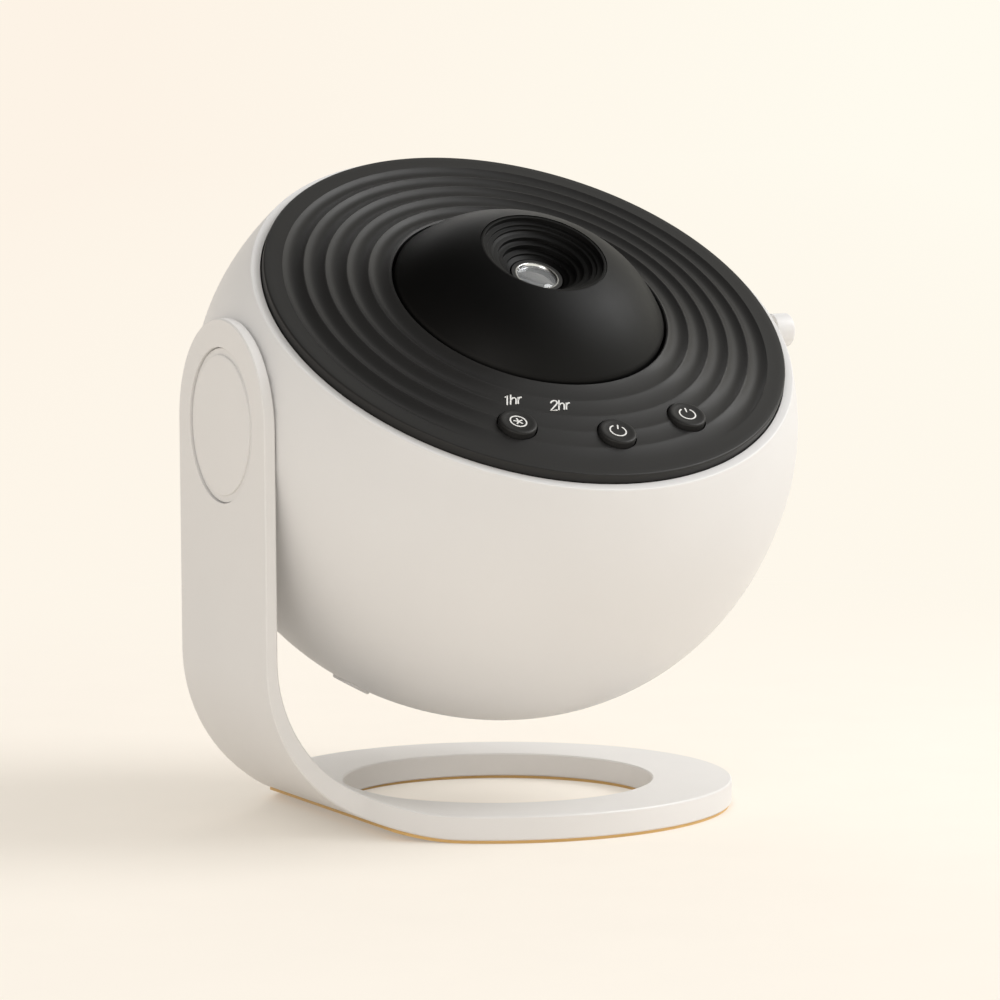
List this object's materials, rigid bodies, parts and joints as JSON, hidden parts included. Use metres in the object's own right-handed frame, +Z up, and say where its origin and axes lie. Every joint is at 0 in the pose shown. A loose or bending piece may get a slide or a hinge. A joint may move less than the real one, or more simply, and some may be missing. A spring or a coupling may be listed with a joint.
{
  "type": "planetarium projector",
  "caption": "Round tilting projector head with a stepped lens hood, rippled face and push buttons, held by a flat arm that bends into an open ring base.",
  "frame": {"origin": "on the floor under the base, at the centre of the hole in the base ring", "axes": "+Z up; the arm stands on the -X side and the head tilts about X; the face looks up and towards -Y"},
  "size_m": [0.1562, 0.155, 0.1658],
  "materials": {
    "shell_white": "satin moulded, fine grain",
    "stand_white": "satin powder coat",
    "face_black": "fine matt texture",
    "inner_black": "matt moulded",
    "pad_amber": "soft amber elastomer",
    "steel": "zinc plated",
    "brass": "machined",
    "aluminium": "machined",
    "barrel_black": "black anodised",
    "gear_white": "natural acetal",
    "circuit": "solder mask",
    "lens_glass": "polished, coated"
  },
  "bodies": {
    "stand": {"stand_frame": "stand_white", "base_pad": "pad_amber", "pivot_cap": "shell_white", "pivot_hub": "steel", "hub_screws": "steel", "stop_plate": "steel", "pivot_nut": "steel", "friction_washer": "steel"},
    "head": {"head_shell": "shell_white", "face_plate": "face_black", "dome_cover": "face_black", "lens_hood": "face_black", "button_board": "circuit", "button_switches": "inner_black", "pivot_bracket": "steel", "pivot_bush": "brass", "stop_pin": "steel", "bracket_screws": "steel", "chassis_plate": "inner_black", "chassis_screws": "steel", "chassis_posts": "aluminium", "main_board": "circuit", "guide_tube": "inner_black", "knob_bush": "brass", "shaft_bracket": "steel", "lamp_house": "aluminium", "condenser_lens": "lens_glass", "disc_motor": "steel", "led_board": "aluminium", "heatsink": "aluminium", "inlet_socket": "inner_black", "inlet_bezel": "shell_white"},
    "barrel": {"lens_barrel": "barrel_black", "front_lens": "lens_glass", "rear_lens": "lens_glass", "lens_ring": "barrel_black", "focus_rack": "brass"},
    "knob": {"focus_knob": "shell_white", "focus_shaft": "steel", "focus_pinion": "brass"},
    "disc": {"disc_carrier": "gear_white", "star_disc": "lens_glass", "disc_clamp_ring": "steel"},
    "drive": {"motor_pinion": "brass", "motor_shaft": "steel"},
    "star_key": {"star_button": "face_black"},
    "light_key": {"light_button": "face_black"},
    "timer_key": {"timer_button": "face_black"}
  },
  "joints": [
    {"name": "head_tilt", "type": "hinge", "parent": "stand", "child": "head", "pos_m": [0, 0, 0.10145], "axis": [1, 0, 0], "range_deg": [-63.3, 56.68]},
    {"name": "lens_focus", "type": "slide", "parent": "head", "child": "barrel", "axis": [0, -0.5492, 0.8357], "range_m": [-0.0025, 0.0025]},
    {"name": "focus_knob_turn", "type": "hinge", "parent": "head", "child": "knob", "pos_m": [0.07, -0.01263, 0.12067], "axis": [1, 0, 0], "range_deg": [-52, 52]},
    {"name": "disc_spin", "type": "hinge", "parent": "head", "child": "disc", "pos_m": [0, 0, 0.10145], "axis": [0, -0.5492, 0.8357], "continuous": true},
    {"name": "motor_spin", "type": "hinge", "parent": "head", "child": "drive", "pos_m": [-0.03014, 0.01454, 0.11101], "axis": [0, -0.5492, 0.8357], "continuous": true},
    {"name": "star_press", "type": "slide", "parent": "head", "child": "star_key", "axis": [0, -0.5492, 0.8357], "range_m": [-0.001, 0], "stiffness_N_per_m": 400, "springref_m": 0.0015},
    {"name": "light_press", "type": "slide", "parent": "head", "child": "light_key", "axis": [0, -0.5492, 0.8357], "range_m": [-0.001, 0], "stiffness_N_per_m": 400, "springref_m": 0.0015},
    {"name": "timer_press", "type": "slide", "parent": "head", "child": "timer_key", "axis": [0, -0.5492, 0.8357], "range_m": [-0.001, 0], "stiffness_N_per_m": 400, "springref_m": 0.0015}
  ],
  "couplings": [
    {"joint": "focus_knob_turn", "follows": "lens_focus", "rad_per_m": 277.78},
    {"joint": "motor_spin", "follows": "disc_spin", "ratio": -6.25}
  ]
}
